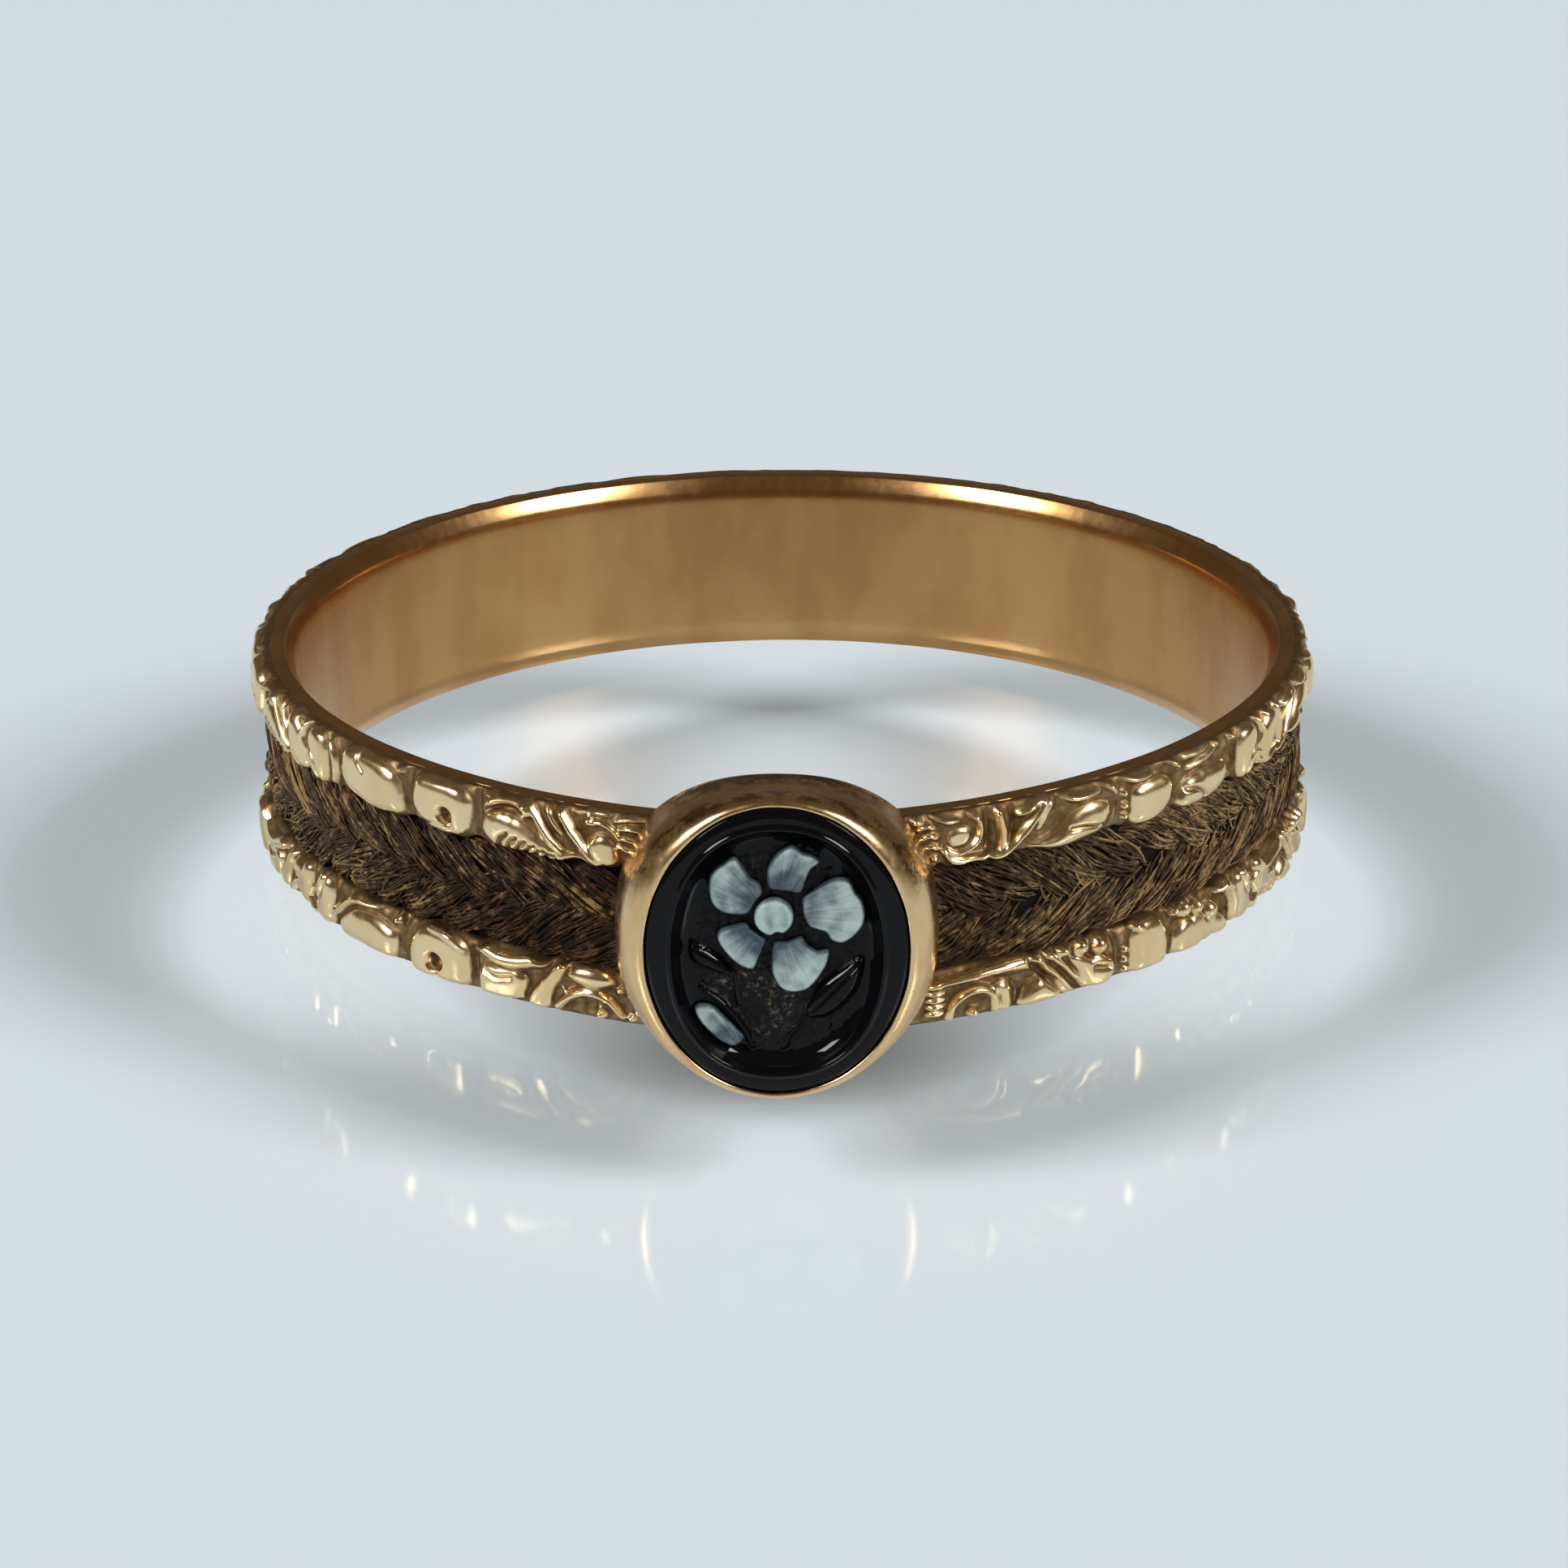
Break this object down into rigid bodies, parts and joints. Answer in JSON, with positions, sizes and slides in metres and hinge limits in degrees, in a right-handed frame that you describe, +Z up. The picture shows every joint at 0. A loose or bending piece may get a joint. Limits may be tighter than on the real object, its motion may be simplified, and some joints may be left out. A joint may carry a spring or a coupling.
{
  "type": "mourning ring",
  "caption": "Gold finger ring with a sunk channel of plaited hair between two carved borders, and an oval bezel that holds a black stone carved with a pale flower.",
  "frame": {"origin": "on the surface that the ring lies on, under the middle of its box", "axes": "+X across the front, -Y towards the bezel's face, +Z up; the finger hole's axis leans 2.2 degrees from +Z towards the back, as the ring rests"},
  "size_m": [0.019, 0.0202, 0.0051],
  "materials": {
    "gold": "worn polished gold, satin inside",
    "hair": "dark brown plaited hair",
    "onyx": "polished black with a matt carved ground",
    "pale_layer": "pale blue-grey, softly polished"
  },
  "bodies": {
    "root": {"band": "gold", "hair_braid": "hair", "stone": "onyx", "petal_1": "pale_layer", "petal_2": "pale_layer", "petal_3": "pale_layer", "petal_4": "pale_layer", "petal_5": "pale_layer", "flower_eye": "pale_layer", "side_leaf": "pale_layer"}
  },
  "joints": []
}
